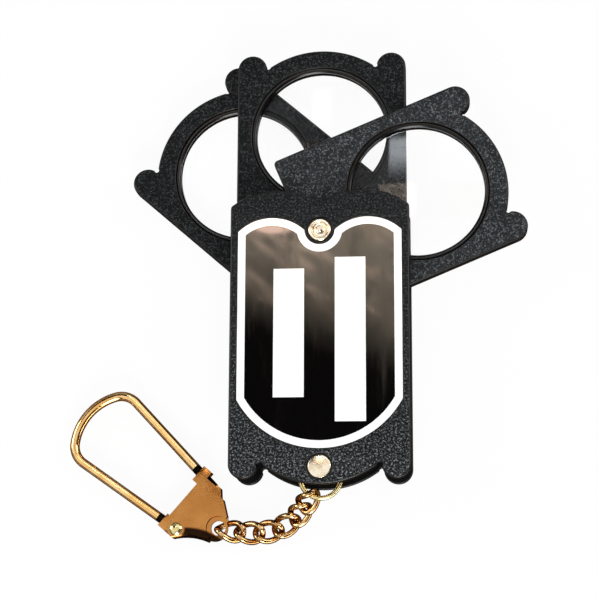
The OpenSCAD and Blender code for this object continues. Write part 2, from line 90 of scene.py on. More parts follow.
yaw, tilt, roll = (math.radians(a) for a in (23.306, 76.673, -23.650))
back = Vector((
    math.sin(yaw) * math.cos(tilt), -math.cos(yaw) * math.cos(tilt), math.sin(tilt)))
level = Vector((0, 0, 1)).cross(back).normalized()
rise = back.cross(level)
side = math.cos(roll) * level + math.sin(roll) * rise
top = math.cos(roll) * rise - math.sin(roll) * level
camera_data = bpy.data.cameras.new("Camera")
camera_data.lens = FOCAL_LENGTH
camera_data.sensor_width = SENSOR
camera_data.clip_start = NEAREST
camera = add_object("Camera", camera_data)
camera.matrix_world = Matrix.Translation(
    Vector(CAMERA_AT) * MM) @ Matrix((side, top, back)).transposed().to_4x4()
bpy.context.scene.camera = camera
bpy.context.scene.view_settings.view_transform = "Standard"
print("camera at", [round(c, 3) for c in camera.location])

# %% [markdown]
# ## Nodes
# Shaders and Geometry Nodes are built in the same way: add a node, then set its inputs or join
# them to other outputs. A few short helpers do that, so that a whole material stays readable.

# %% Node helpers
def link(tree, start, end):
    """Joins an output to an input, or sets the input where start is a plain value."""
    if isinstance(start, bpy.types.NodeSocket):
        tree.links.new(start, end)
    else:
        end.default_value = start


def set_inputs(tree, node, **inputs):
    """Sets or joins a node's inputs by name, with _ for a space, and gives the node."""
    for label, value in inputs.items():
        link(tree, value, node.inputs[label.replace("_", " ")])
    return node


def add(tree, kind, **inputs):
    """A new node of this kind with these inputs."""
    return set_inputs(tree, tree.nodes.new(kind), **inputs)


def calc(tree, operation, *values):
    """A Math node on these values, and its output."""
    node = add(tree, "ShaderNodeMath")
    node.operation = operation
    for value, socket in zip(values, node.inputs):
        link(tree, value, socket)
    return node.outputs[0]


def product(tree, first, *others):
    """All of these values multiplied."""
    for other in others:
        first = calc(tree, "MULTIPLY", first, other)
    return first


# %% Shader helpers
def fit(tree, value, low, high, new_low=0.0, new_high=1.0):
    """A smooth step of a value from one range to another."""
    node = add(tree, "ShaderNodeMapRange", Value=value, From_Min=low, From_Max=high,
               To_Min=new_low, To_Max=new_high)
    node.interpolation_type = "SMOOTHSTEP"
    return node.outputs[0]


def noise(tree, scale, vector, detail=2.0, rough=0.5, distortion=0.0):
    """The value of a Noise node on this vector."""
    return add(tree, "ShaderNodeTexNoise", Vector=vector, Scale=scale, Detail=detail,
               Roughness=rough, Distortion=distortion).outputs[0]


def blend(tree, share, low, high):
    """A colour between low and high."""
    node = add(tree, "ShaderNodeMix")
    node.data_type = "RGBA"
    link(tree, share, node.inputs[0])
    for socket, colour in ((node.inputs[6], low), (node.inputs[7], high)):
        link(tree, colour if isinstance(colour, bpy.types.NodeSocket) else (*colour, 1.0), socket)
    return node.outputs[2]


def object_place(tree):
    """Where on the object a point lies, in metres."""
    return add(tree, "ShaderNodeTexCoord").outputs["Object"]


def new_material(name):
    """A material, its node tree and its Principled shader."""
    material = bpy.data.materials.new(name)
    material.use_nodes = True
    return material, material.node_tree, material.node_tree.nodes["Principled BSDF"]


# %% [markdown]
# ## Floor, sky and lamps
# A product photograph on white needs a floor that reads as white to the camera and in
# reflections, and still carries a soft shadow. The floor is therefore part plain diffuse and
# part white light that only camera, glossy and transmission rays see. The sky does the same.
# Large area lamps give the soft light.

# %% Sky
SKY_LIGHT = 0.55


def seen_rays(tree):
    """1 for camera, glossy and transmission rays, and 0 for the rays that light things."""
    path = add(tree, "ShaderNodeLightPath").outputs
    both = calc(tree, "MAXIMUM", path["Is Camera Ray"], path["Is Glossy Ray"])
    return calc(tree, "MAXIMUM", both, path["Is Transmission Ray"])


world = bpy.data.worlds.new("Studio")
bpy.context.scene.world = world
world.use_nodes = True
tree = world.node_tree
set_inputs(tree, tree.nodes["Background"], Color=(1, 1, 1, 1), Strength=calc(
    tree, "MULTIPLY_ADD", seen_rays(tree), 1 - SKY_LIGHT, SKY_LIGHT))
print("sky gives", SKY_LIGHT, "to the object and 1 to the camera")

# %% Floor
FLOOR_HALF, FLOOR_Z, FLOOR_GLOW, PAPER = 3.0, -0.00014, 0.94, (0.86, 0.86, 0.86, 1)
floor_mesh = bpy.data.meshes.new("Floor")
floor_mesh.from_pydata(
    [(x * FLOOR_HALF, y * FLOOR_HALF, FLOOR_Z) for x, y in ((-1, -1), (1, -1), (1, 1), (-1, 1))],
    [], [(0, 1, 2, 3)])
floor = add_object("Floor", floor_mesh)
floor_material, tree, _ = new_material("Pale paper")
tree.nodes.clear()
mix = add(tree, "ShaderNodeMixShader", Fac=product(tree, seen_rays(tree), FLOOR_GLOW))
link(tree, add(tree, "ShaderNodeBsdfDiffuse", Color=PAPER).outputs[0], mix.inputs[1])
link(tree, add(tree, "ShaderNodeEmission", Strength=1.0).outputs[0], mix.inputs[2])
add(tree, "ShaderNodeOutputMaterial", Surface=mix.outputs[0])
floor_mesh.materials.append(floor_material)
floor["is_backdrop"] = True
print("floor", 2 * FLOOR_HALF, "m wide")

# %% Lamps
LAMP_SIZE = 0.35


def add_lamp(name, place, power, tint):
    """A square area lamp that looks at the middle of the object."""
    data = bpy.data.lights.new(name, "AREA")
    data.size = LAMP_SIZE
    data.energy = power
    data.color = tint
    lamp = add_object(name, data)
    lamp.location = place
    lamp.rotation_euler = Vector(place).to_track_quat("Z", "Y").to_euler()
    return lamp


LAMPS = [
    add_lamp("Lamp_front", (0.10, -0.75, 0.45), 6.0, (1.0, 0.99, 0.97)),
    add_lamp("Lamp_left", (-0.75, 0.20, 0.45), 2.2, (0.97, 0.98, 1.0)),
    add_lamp("Lamp_right", (0.70, 0.25, 0.50), 1.8, (1.0, 1.0, 1.0)),
]
print("lamps:", len(LAMPS))

# %% [markdown]
# ## What the gloss reflects
# Polished metal, glass and a glossy label show whatever stands around them. A photographer
# hangs cards for that, so that gold gets dark lines and black gloss stays black. Here the cards
# are seen by glossy rays alone: they neither light the object nor show in the picture.
#
# The one overhead carries the warm clouds that the label mirrors. A flat, level surface mirrors
# each of the camera's rays to one spot of it, so a point (u, v) of the label in millimetres maps
# straight to a point of the card, and the pattern is drawn in u and v. The front lens is domed
# and mirrors a wider part of the same card, with a cool gleam above the clouds.

# %% Card helpers
def gloss_card(name, points, faces, material):
    """A sheet that is seen by reflections only."""
    mesh = bpy.data.meshes.new(name)
    mesh.from_pydata(points, [], faces)
    mesh.materials.append(material)
    card = add_object(name, mesh)
    card.visible_camera = card.visible_diffuse = card.visible_shadow = False
    card.visible_transmission = False
    card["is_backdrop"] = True


def glow_material(name, colour, strength):
    """A material that gives off this much light, its tree and its Emission node."""
    material, tree, _ = new_material(name)
    tree.nodes.clear()
    glow = add(tree, "ShaderNodeEmission", Color=(*colour, 1), Strength=strength)
    add(tree, "ShaderNodeOutputMaterial", Surface=glow.outputs[0])
    return material, tree, glow


# %% Overhead card's place
CARD_Z, LABEL_LEVEL = 0.5, 0.0125
CARD_CORNERS = [(-0.50, 0.10), (0.40, 0.10), (0.40, 0.65), (-0.50, 0.65),
                (-0.088, 0.034), (0.008, 0.034), (0.008, 0.10), (-0.088, 0.10)]
spread = 1 + (CARD_Z - LABEL_LEVEL) / (camera.location.z - LABEL_LEVEL)
shift = Vector(camera.location.xy) * (1 - spread)


def on_card(x, y):
    """Where the camera sees this point of the label's plane mirrored, in metres."""
    return Vector((x * MM * spread + shift.x, y * MM * spread + shift.y))


card_material, tree, glow = glow_material("Overhead card", (0, 0, 0), 1.0)
gloss_card("Overhead_card", [(x, y, CARD_Z) for x, y in CARD_CORNERS],
           [(0, 1, 2, 3), (4, 5, 6, 7)], card_material)
print("label's top mirrors", [round(c, 3) for c in on_card(0, 24)],
      "and its end", [round(c, 3) for c in on_card(0, -24)])

# %% Overhead card's clouds
SHADE, WARM, COOL = (0.42, 0.35, 0.27), (1.10, 0.82, 0.62), (0.86, 0.93, 1.0)
CLOUD_GLOW, HAZE_GLOW, GLEAM_GLOW = 11.5, 1.6, 18.0

on_label = add(tree, "ShaderNodeMapping", Vector=object_place(tree),
               Location=(-shift.x / spread / MM, -shift.y / spread / MM, 0),
               Scale=(1 / spread / MM, 1 / spread / MM, 0)).outputs[0]
u, v, _ = add(tree, "ShaderNodeSeparateXYZ", Vector=on_label).outputs
off_middle = calc(tree, "ABSOLUTE", u)
creased = add(tree, "ShaderNodeMapping", Vector=on_label,
              Rotation=(0, 0, math.radians(-32)), Scale=(4.0, 1.0, 1.0))
creased.vector_type = "TEXTURE"
folds = fit(tree, noise(tree, 0.28, creased.outputs[0], 4.0, distortion=0.5), 0.46, 0.70)
link(tree, blend(tree, fit(tree, v, 40.0, 44.0), blend(tree, folds, SHADE, WARM), COOL),
     glow.inputs["Color"])

lit = fit(tree, calc(tree, "MULTIPLY_ADD", u, 0.35, v), -4.0, 18.0)
cloud = fit(tree, noise(tree, 0.11, on_label, 3.0, distortion=1.2), -0.1, 0.8)
inside = product(tree, fit(tree, v, 41.0, 36.0), fit(tree, off_middle, 20.0, 16.5))
beyond = product(tree, fit(tree, v, 42.0, 80.0), fit(tree, v, 100.0, 88.0))
clouds = product(tree, lit, cloud, inside, CLOUD_GLOW)
haze = product(tree, fit(tree, u, 20.0, 60.0), HAZE_GLOW)
gleam = product(tree, fit(tree, off_middle, 11.0, 7.0), beyond, GLEAM_GLOW)
link(tree, calc(tree, "ADD", calc(tree, "ADD", clouds, haze), gleam), glow.inputs["Strength"])
print("overhead card has", len(tree.nodes), "nodes")

# %% [markdown]
# Round the object stands a dark brown horizon, which gives the gold its dark lines. Just inside
# it, from the front to the right, a bright low card shows in the upright edges, and a darker
# one above it keeps the label black in low views. A brown disc on the floor darkens what faces
# down, and a rosy patch tints the label's upper left corner.

# %% Horizon, low, dark and floor cards
def spin(centre, radii, turns, z):
    """Points round a centre in these directions, given in degrees."""
    return [(centre[0] + radii[0] * math.cos(math.radians(a)),
             centre[1] + radii[1] * math.sin(math.radians(a)), z) for a in turns]


def wall_card(name, radius, turns, heights, colour, strength):
    """An upright curved card round the object, between two heights."""
    count = len(turns)
    points = [p for z in heights for p in spin((0, 0), (radius, radius), turns, z)]
    gloss_card(name, points, [(k, k + 1, k + 1 + count, k + count) for k in range(count - 1)],
               glow_material(name.replace("_", " "), colour, strength)[0])


def disc_card(name, centre, radii, z, colour, strength):
    """A level oval card."""
    points = spin(centre, radii, range(0, 360, 10), z)
    gloss_card(name, points, [tuple(range(len(points)))],
               glow_material(name.replace("_", " "), colour, strength)[0])


wall_card("Horizon_card", 1.4, range(0, 361, 10), (0.12, 0.75), (0.10, 0.055, 0.03), 1.0)
wall_card("Low_card", 1.3, range(-84, -13, 7), (0.02, 0.27), (1.0, 0.98, 0.95), 6.0)
wall_card("Dark_card", 1.3, range(-112, 8, 7), (0.27, 2.2), (0.05, 0.03, 0.02), 1.0)
disc_card("Floor_card", (0, 0), (0.30, 0.30), -0.00012, (0.16, 0.115, 0.085), 1.0)
disc_card("Rosy_patch", on_card(-9.2, 23.7), (0.0120, 0.0062), CARD_Z - 0.002,
          (1.0, 0.68, 0.54), 19.0)

# %% [markdown]
# ## Finishes
# Three effects turn up in several materials: the pebbled grain of moulded plastic, the uneven
# polish of plated metal, and the fine scuffs on glossy faces. Each is a shader node group with
# its own sizes as named inputs, so that each material can place it with other values. The
# Principled shader stays in the material.

# %% Group helpers
def new_group(name, inputs, outputs):
    """A shader group with float inputs and outputs, what it is given and what it puts out."""
    group = bpy.data.node_groups.new(name, "ShaderNodeTree")
    for label, value in inputs.items():
        socket = group.interface.new_socket(label, in_out="INPUT", socket_type="NodeSocketFloat")
        socket.default_value = value
    for label in outputs:
        group.interface.new_socket(label, in_out="OUTPUT", socket_type="NodeSocketFloat")
    return group, add(group, "NodeGroupInput").outputs, add(group, "NodeGroupOutput")


def use_group(tree, group, **values):
    """Places a group in a material, sets its named inputs and gives its outputs."""
    node = add(tree, "ShaderNodeGroup")
    node.node_tree = group
    return set_inputs(tree, node, **values).outputs


# %% Moulded grain
grain, given, end = new_group(
    "Moulded grain", {"Grain": 2300.0, "Sparkle": 1.0}, ["Speck", "Cloud", "Height"])
place = object_place(grain)
pebbles = noise(grain, given["Grain"], place, 2.0, 0.55)
finer = noise(grain, product(grain, given["Grain"], 2.1), place, 1.0)
broad = noise(grain, product(grain, given["Grain"], 0.09), place)
set_inputs(
    grain, end, Cloud=fit(grain, broad, 0.3, 0.7),
    Speck=product(grain, fit(grain, pebbles, 0.44, 0.68), fit(grain, finer, 0.40, 0.66),
                  given["Sparkle"]),
    Height=calc(grain, "MULTIPLY_ADD", finer, 0.35, pebbles))
print("group", grain.name)

# %% Plated metal
plating, given, end = new_group(
    "Plated metal", {"Mottle": 260.0, "Wear": 1.0, "Dull": 0.1}, ["Tone", "Roughness", "Height"])
place = object_place(plating)
broad = noise(plating, given["Mottle"], place, 3.0, 0.6)
close = noise(plating, product(plating, given["Mottle"], 9.0), place)
worn = product(plating, fit(plating, close, 0.35, 0.75), given["Wear"])
set_inputs(
    plating, end, Tone=fit(plating, broad, 0.30, 0.70),
    Roughness=calc(plating, "MULTIPLY_ADD", worn, 0.16, given["Dull"]),
    Height=calc(plating, "MULTIPLY_ADD", close, 0.2, broad))
print("group", plating.name)

# %% Fine scuffs
scuffs, given, end = new_group("Fine scuffs", {"Scale": 400.0}, ["Roughness", "Dust"])
drawn_out = add(scuffs, "ShaderNodeMapping", Vector=object_place(scuffs),
                Scale=(1.0, 0.15, 1.0), Rotation=(0.0, 0.0, 0.5))
lines = noise(scuffs, given["Scale"], drawn_out.outputs[0], 3.0, 0.7)
set_inputs(
    scuffs, end, Dust=fit(scuffs, lines, 0.62, 0.8),
    Roughness=calc(scuffs, "MULTIPLY_ADD", fit(scuffs, lines, 0.45, 0.8), 0.10, 0.03))
print("group", scuffs.name)

# %% [markdown]
# ## Materials
# The plastic is near black, and its grain carries small light tips. On the covers the tips are
# painted lighter toward the chain, a painted sheen for the light that the case's lower end
# catches. Edges, upright walls and the bores are smoother, and painted darker as shade. The
# metals differ in tone: the rivets are pale champagne, the ring pale gold, the chain and the snap
# a warm gold that goes brown where it turns away, which is what a metal's Specular Tint is for.

# %% Material helpers
def bump(tree, height, strength, distance):
    """A Bump node's normal."""
    return add(tree, "ShaderNodeBump", Strength=strength, Distance=distance,
               Height=height).outputs[0]


def srgb(r, g, b):
    """A colour in linear light from the 0 to 255 that a picture shows."""
    return tuple(((c / 255 + 0.055) / 1.055) ** 2.4 if c > 10 else c / 255 / 12.92
                 for c in (r, g, b))


# %% Moulded plastic
HOLLOW_SHADE, POLISHED_TIP, PAINTED_SHEEN_FROM, PAINTED_SHEEN_TO = 0.7, 0.2, -0.034, 0.012


def moulded_plastic(name, base, tip, grains, sparkle, roughness, depth, gloss, painted_sheen_tip=None):
    """Dark plastic with light grain tips, painted lighter toward the chain as a painted sheen."""
    material, tree, shader = new_material(name)
    found = use_group(tree, grain, Grain=grains, Sparkle=sparkle)
    base, tip = srgb(*base), srgb(*tip)
    ground = blend(tree, found["Cloud"], tuple(c * HOLLOW_SHADE for c in base), base)
    # Painted sheen: toward the chain the tips blend to a lighter colour, for light on the case's
    # end.
    if painted_sheen_tip:
        along = add(tree, "ShaderNodeSeparateXYZ", Vector=object_place(tree)).outputs[1]
        tip = blend(tree, fit(tree, along, PAINTED_SHEEN_FROM, PAINTED_SHEEN_TO), srgb(*painted_sheen_tip), tip)
    set_inputs(
        tree, shader, Base_Color=blend(tree, found["Speck"], ground, tip),
        Roughness=fit(tree, found["Speck"], 0.0, 1.0, roughness, roughness - POLISHED_TIP),
        Normal=bump(tree, found["Height"], 0.7, depth), Specular_IOR_Level=gloss)
    return material


# Base colour, tip colour, grains, sparkle, roughness, depth in metres, gloss, painted sheen tips
PLASTICS = {
    "Cover plastic": (
        (14, 15, 16), (86, 90, 92), 2300.0, 0.9, 0.50, 0.00012, 0.14, (158, 163, 168)),
    "Frame plastic": ((13, 14, 15), (80, 84, 86), 2400.0, 0.9, 0.50, 0.00006, 0.10),
    "Front frame plastic in painted light": ((30, 32, 34), (120, 124, 128), 2400.0, 0.9, 0.50, 0.00010, 0.16),
    # The edge, wall and rim plastics are painted darker than the covers, as shade; the edge one is
    # also glossier.
    "Edges in painted shade": ((7, 7, 8), (24, 25, 26), 2600.0, 0.6, 0.34, 0.00002, 0.36),
    "Ring plastic": ((5, 5, 6), (14, 14, 15), 1400.0, 0.4, 0.22, 0.00001, 0.25),
    "Walls in painted shade": ((5, 5, 6), (22, 23, 24), 2600.0, 0.6, 0.50, 0.00002, 0.08),
    "Bores in painted shade": ((5, 5, 6), (14, 14, 15), 1400.0, 0.4, 0.40, 0.00001, 0.12),
}
(cover_plastic, frame_plastic, light_painted_front, painted_dark_edges, ring_plastic, shade_painted_walls,
 shade_painted_bores) = (moulded_plastic(name, *look) for name, look in PLASTICS.items())
print("plastics:", len(PLASTICS))

# %% Plated metals
def plated_metal(name, light, dark, mottle, wear, depth, edge=None, dull=0.1):
    """Plating in two tones, with the colour that it takes where it turns away."""
    material, tree, shader = new_material(name)
    found = use_group(tree, plating, Mottle=mottle, Wear=wear, Dull=dull)
    set_inputs(
        tree, shader, Base_Color=blend(tree, found["Tone"], srgb(*dark), srgb(*light)),
        Roughness=found["Roughness"], Normal=bump(tree, found["Height"], 0.5, depth),
        Metallic=1.0)
    if edge:
        shader.inputs["Specular Tint"].default_value = (*srgb(*edge), 1)
    return material


# Light tone, dark tone, mottle, wear, depth in metres, tone where it turns away, dullness
METALS = {
    "Champagne rivet": ((255, 243, 222), (236, 218, 186), 500.0, 0.5, 0.00001, None, 0.22),
    "Pale gold ring": ((246, 234, 180), (216, 194, 128), 300.0, 0.4, 0.00001, None, 0.2),
    "Chain gold": ((230, 192, 136), (176, 130, 78), 420.0, 1.0, 0.00003, (60, 28, 12)),
    "Plate gold": ((204, 144, 80), (180, 118, 58), 70.0, 0.7, 0.00001, (96, 56, 26), 0.2),
    "Wire gold": ((250, 212, 150), (232, 178, 108), 200.0, 0.8, 0.00001, (110, 60, 28)),
    "Dark neck": ((26, 20, 16), (10, 8, 6), 300.0, 0.6, 0.00002),
}
rivet_metal, ring_metal, chain_metal, plate_metal, wire_metal, neck_metal = (
    plated_metal(name, *look) for name, look in METALS.items())
print("metals:", len(METALS))

# %% [markdown]
# The label is black gloss with white print, both finely scuffed. The lenses are clear glass
# between two other things: dark frames below and a white studio above. Window glass would
# mirror that white over the frames as a grey veil, so the index is low and two of the lenses
# have their gloss tinted down.

# %% Label and glass
GLASS_INDEX, LENS_SHEEN, LENS_SCUFF = 1.28, {"front": 1.0, "middle": 0.2, "rear": 0.2}, 0.02


def glossy_print(name, scale, plain, dusty):
    """A smooth printed face with fine scuffs."""
    material, tree, shader = new_material(name)
    found = use_group(tree, scuffs, Scale=scale)
    set_inputs(tree, shader, Roughness=found["Roughness"],
               Base_Color=blend(tree, found["Dust"], srgb(*plain), srgb(*dusty)))
    return material


label_black = glossy_print("Label black", 300.0, (8, 7, 7), (20, 18, 17))
label_white = glossy_print("Label white", 500.0, (252, 252, 250), (236, 234, 230))
glasses = {}
for name, sheen in LENS_SHEEN.items():
    glasses[name], tree, shader = new_material(f"{name.capitalize()} lens glass")
    dust = use_group(tree, scuffs, Scale=200.0)["Dust"]
    set_inputs(tree, shader, Base_Color=(1, 1, 1, 1), Transmission_Weight=1.0, IOR=GLASS_INDEX,
               Roughness=fit(tree, dust, 0.0, 1.0, 0.0, LENS_SCUFF),
               Specular_Tint=(sheen, sheen, sheen, 1))
print("label and glass")

# %% [markdown]
# ## Outlines
# Covers, label and frames are flat plates whose outlines are runs of arcs and lines. A rounded
# edge needs the same outline again, moved inwards. If each outline is written as a function of
# that inset, with every radius grown or shrunk by it, the rounding is exact and each copy has
# the same number of points, so neighbouring copies join up with plain quads.

# %% Outline helpers
def arc(centre, radius, start, end, steps):
    """Points from one angle to another in degrees, clockwise where the end is lower."""
    return [
        (centre[0] + radius * math.cos(math.radians(a)),
         centre[1] + radius * math.sin(math.radians(a)))
        for a in (start + (end - start) * k / steps for k in range(steps + 1))
    ]


def crossing(one, one_r, two, two_r, rank):
    """Of the two points where two circles cross, the one with the lowest rank."""
    dx, dy = two[0] - one[0], two[1] - one[1]
    apart = math.hypot(dx, dy)
    along = (apart ** 2 + one_r ** 2 - two_r ** 2) / (2 * apart)
    off = math.sqrt(max(one_r ** 2 - along ** 2, 0.0))
    points = [
        (one[0] + (dx * along - s * dy * off) / apart, one[1] + (dy * along + s * dx * off) / apart)
        for s in (-1, 1)
    ]
    return min(points, key=rank)


def angle_to(centre, point, lowest):
    """Direction of a point from a centre, in degrees from lowest up."""
    angle = math.degrees(math.atan2(point[1] - centre[1], point[0] - centre[0]))
    return (angle - lowest) % 360 + lowest


def mirrored(half, axis):
    """A closed outline from one half, whose first and last points lie on the mirror line."""
    flip = (-1, 1) if axis == "x" else (1, -1)
    return half + [(flip[0] * x, flip[1] * y) for x, y in reversed(half[1:-1])]


# %% Case outline
CASE_HALF, LOBE_R, LOBE_DROP, CASE_END, END_R = 18.5, 3.0, 48.4, 52.5, 19.3
BUMP_X, BUMP_R, BUMP_RISE, CORNER_R = 8.7, 16.2, 8.5, 1.0
HOLLOW_AT, HOLLOW_R = (12.1, -48.7), 0.6


def case_outline(inset):
    """Outline of both covers about the pivot, in mm."""
    end_c = (0, END_R - CASE_END)
    lobe_c = (CASE_HALF - LOBE_R, -LOBE_DROP)
    bump_c = (BUMP_X, BUMP_RISE - BUMP_R)
    corner_x = CASE_HALF - CORNER_R
    corner_y = bump_c[1] + math.sqrt((BUMP_R - CORNER_R) ** 2 - (corner_x - BUMP_X) ** 2)
    end_r, hollow_r, lobe_r = END_R - inset, HOLLOW_R + inset, LOBE_R - inset
    first = crossing(end_c, end_r, HOLLOW_AT, hollow_r, lambda p: p[0])
    second = crossing(HOLLOW_AT, hollow_r, lobe_c, lobe_r, lambda p: p[1])
    lean = angle_to(bump_c, (corner_x, corner_y), 0)
    cusp = math.degrees(math.acos(-BUMP_X / (BUMP_R - inset)))
    half = arc(end_c, end_r, -90, angle_to(end_c, first, -180), 24)
    half += arc(HOLLOW_AT, hollow_r, angle_to(HOLLOW_AT, first, 90),
                angle_to(HOLLOW_AT, second, -90), 10)[1:]
    half += arc(lobe_c, lobe_r, angle_to(lobe_c, second, 90), 360, 20)[1:]
    half += arc((corner_x, corner_y), CORNER_R - inset, 0, lean, 6)
    half += arc(bump_c, BUMP_R - inset, lean, cusp, 32)[1:]
    return mirrored(half, "x")


print("case outline has", len(case_outline(0.0)), "points")

# %% Label outline
LABEL_HALF, LABEL_TOP, LABEL_BUMP_X, LABEL_BUMP_R = 16.9, 2.6, 9.9, 10.0
NOTCH_R, LABEL_END, LABEL_ARC_R = 3.1, 45.3, 19.3


def label_outline(inset):
    """Outline of the label about the pivot, in mm."""
    half_w = LABEL_HALF - inset
    arc_c, arc_r = (0, LABEL_ARC_R - LABEL_END), LABEL_ARC_R - inset
    bump_c, bump_r = (LABEL_BUMP_X, LABEL_TOP - LABEL_BUMP_R), LABEL_BUMP_R - inset
    notch_r = NOTCH_R + inset
    low = math.degrees(math.asin(half_w / arc_r))
    high = math.degrees(math.acos((half_w - LABEL_BUMP_X) / bump_r))
    meet = crossing(bump_c, bump_r, (0, 0), notch_r, lambda p: -p[1])
    half = arc(arc_c, arc_r, -90, low - 90, 24)
    half += arc(bump_c, bump_r, high, angle_to(bump_c, meet, 0), 24)
    half += arc((0, 0), notch_r, angle_to((0, 0), meet, -180), -90, 16)[1:]
    return mirrored(half, "x")


print("label outline has", len(label_outline(0.0)), "points")

# %% Frame outline
THROW, FRAME_HALF, FRAME_TAIL, FRAME_CORNER = 22.0, 17.9, 3.3, 0.9
FRAME_REACH, FRAME_ARC, EAR_X, EAR_R, NICK_R, NICK_LIFT = 40.6, 19.6, 36.8, 3.1, 0.5, 0.4


def frame_outline(inset):
    """Outline of a lens frame that points along +X from the pivot, in mm."""
    ear_c, ear_r = (EAR_X, FRAME_HALF - EAR_R), EAR_R - inset
    arc_c, arc_r = (FRAME_REACH - FRAME_ARC, 0), FRAME_ARC - inset
    nick_y = ear_c[1] - EAR_R - NICK_R / 2
    nick_c = (arc_c[0] + math.sqrt(FRAME_ARC ** 2 - nick_y ** 2) + NICK_LIFT, nick_y)
    nick_r = NICK_R + inset
    first = crossing(arc_c, arc_r, nick_c, nick_r, lambda p: p[1])
    second = crossing(nick_c, nick_r, ear_c, ear_r, lambda p: -p[0])
    half = arc(arc_c, arc_r, 0, angle_to(arc_c, first, 0), 30)
    half += arc(nick_c, nick_r, angle_to(nick_c, first, 180),
                angle_to(nick_c, second, 0), 10)[1:]
    half += arc(ear_c, ear_r, angle_to(ear_c, second, -180), 90, 18)[1:]
    half += arc((FRAME_CORNER - FRAME_TAIL, FRAME_HALF - FRAME_CORNER),
                FRAME_CORNER - inset, 90, 180, 6)
    half.append((inset - FRAME_TAIL, 0))
    return mirrored(half, "y")


print("frame outline has", len(frame_outline(0.0)), "points")

# %% [markdown]
# ## Plates
# A plate is a stack of loops: the outline rises from the bottom face to the top face, and each
# hole does the same the other way round. Quads join the loops of a stack, and the two flat
# faces are filled with triangles that leave the holes open. Nothing is cut with a boolean, so
# no thin slivers appear. The flat faces are shaded flat and the rest smooth.

# %% Plate builder
CREASE = 40


class Shell:
    """Points and faces of one piece, gathered loop by loop."""

    def __init__(self):
        self.points, self.faces, self.flat = [], [], set()

    def loop(self, outline, height):
        """Adds an outline at a height, and gives its points' numbers."""
        first = len(self.points)
        self.points += [(x, y, height) for x, y in outline]
        return list(range(first, len(self.points)))

    def wall(self, lower, upper, inward=False):
        """Quads between two loops."""
        count = len(lower)
        for k in range(count):
            face = [lower[k], lower[(k + 1) % count], upper[(k + 1) % count], upper[k]]
            self.faces.append(face[::-1] if inward else face)

    def stack(self, levels, inward=False):
        """Joins (outline, height) levels, and gives the first loop and the last."""
        loops = [self.loop(outline, height) for outline, height in levels]
        for lower, upper in zip(loops, loops[1:]):
            self.wall(lower, upper, inward)
        return loops[0], loops[-1]

    def fill(self, outer, holes, up):
        """A flat face inside one loop that leaves the holes open."""
        rings = [outer, *holes]
        names = [index for ring in rings for index in ring]
        flat = [[Vector((*self.points[i][:2], 0.0)) for i in ring] for ring in rings]
        for triangle in tessellate_polygon(flat):
            a, b, c = (Vector(self.points[names[i]][:2]) for i in triangle)
            turn = (b - a).cross(c - a)
            if abs(turn) < 1e-9:
                continue
            face = [names[i] for i in triangle]
            self.flat.add(len(self.faces))
            self.faces.append(face if (turn > 0) == up else face[::-1])

    def piece(self, name, materials, place):
        """A mesh object in metres from the gathered points, which are in mm."""
        mesh = bpy.data.meshes.new(name)
        mesh.from_pydata([place @ Vector(p) * MM for p in self.points], [], self.faces)
        mesh.polygons.foreach_set(
            "use_smooth", [k not in self.flat for k in range(len(self.faces))])
        mesh.set_sharp_from_angle(angle=math.radians(CREASE))
        for material in materials:
            mesh.materials.append(material)
        mesh.validate()
        return add_object(name, mesh)


# %% Plate helpers
ROUND_STEPS = 4


def dress(piece, body, node_name):
    """Lets a piece ride on a body and stand for a CAD node, which it hides."""
    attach(piece, body)
    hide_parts(node_name)


def paint_edge_shade(item, flat, in_shade=lambda polygon: False):
    """Paints rounded edges and upright walls apart from flat faces, in painted shade."""
    for polygon in item.data.polygons:
        if polygon.index in flat:
            polygon.material_index = 2 if in_shade(polygon) else 0
        else:
            polygon.material_index = 1 if abs(polygon.normal.z) > 0.25 else 2


def circle(radius, centre=(0, 0), steps=96):
    """A closed circle, counter-clockwise."""
    return arc(centre, radius, 0, 360, steps)[:-1]


def rounded(outline, low, high, low_r, high_r):
    """Levels of a plate's wall from its lower face to its upper one, with rounded edges."""
    turns = [math.radians(90 * k / ROUND_STEPS) for k in range(ROUND_STEPS + 1)]
    levels = [(outline(low_r * (1 - math.sin(a))), low + low_r * (1 - math.cos(a)))
              for a in turns]
    return levels + [(outline(high_r * (1 - math.cos(a))), high - high_r * (1 - math.sin(a)))
                     for a in turns]


def about_pivot(angle=0.0, height=0.0):
    """Place of what is drawn round the pivot, in mm."""
    return Matrix.Translation((0, THROW, height)) @ Matrix.Rotation(math.radians(angle), 4, "Z")


# %% [markdown]
# ## Covers
# Both covers share one outline. The front one carries a sunk bed for the label, and both have
# a round recess for each rivet head. The moulded edges are softly rounded, more on the outside
# than on the side that faces the lenses. Each hole is listed from the inner face to the outer
# one, and that list runs the other way for the back cover, whose outer face is the lower one.

# %% Cover helpers
COVER_T, LID_Z, TOP_Z, POST_DROP = 1.8, 10.8, 12.6, 48.9
HEAD_RECESS, BED_DEPTH, LABEL_GAP = 0.65, 0.4, 0.12
RIVETS = (((0, 0), 1.55, 2.75), ((0, -POST_DROP), 1.05, 2.65))


def cover_shell(low_z, high_z, low_r, high_r, out):
    """A cover's wall and rivet holes, and the loops of its two faces, the lower ones first.

    Out is 1 where the outer face is the upper one, and -1 where it is the lower one.
    """
    shell = Shell()
    edges = shell.stack(rounded(case_outline, low_z, high_z, low_r, high_r))
    inner, outer = (low_z, high_z)[::out]
    holes = []
    for centre, hole_r, recess_r in RIVETS:
        levels = [(hole_r, inner), (hole_r, outer - out * HEAD_RECESS),
                  (recess_r, outer - out * HEAD_RECESS), (recess_r, outer - out * 0.15),
                  (recess_r + 0.04, outer - out * 0.05), (recess_r + 0.12, outer)]
        holes.append(shell.stack([(circle(r, centre), z) for r, z in levels[::out]], inward=True))
    return shell, edges, list(zip(*holes))


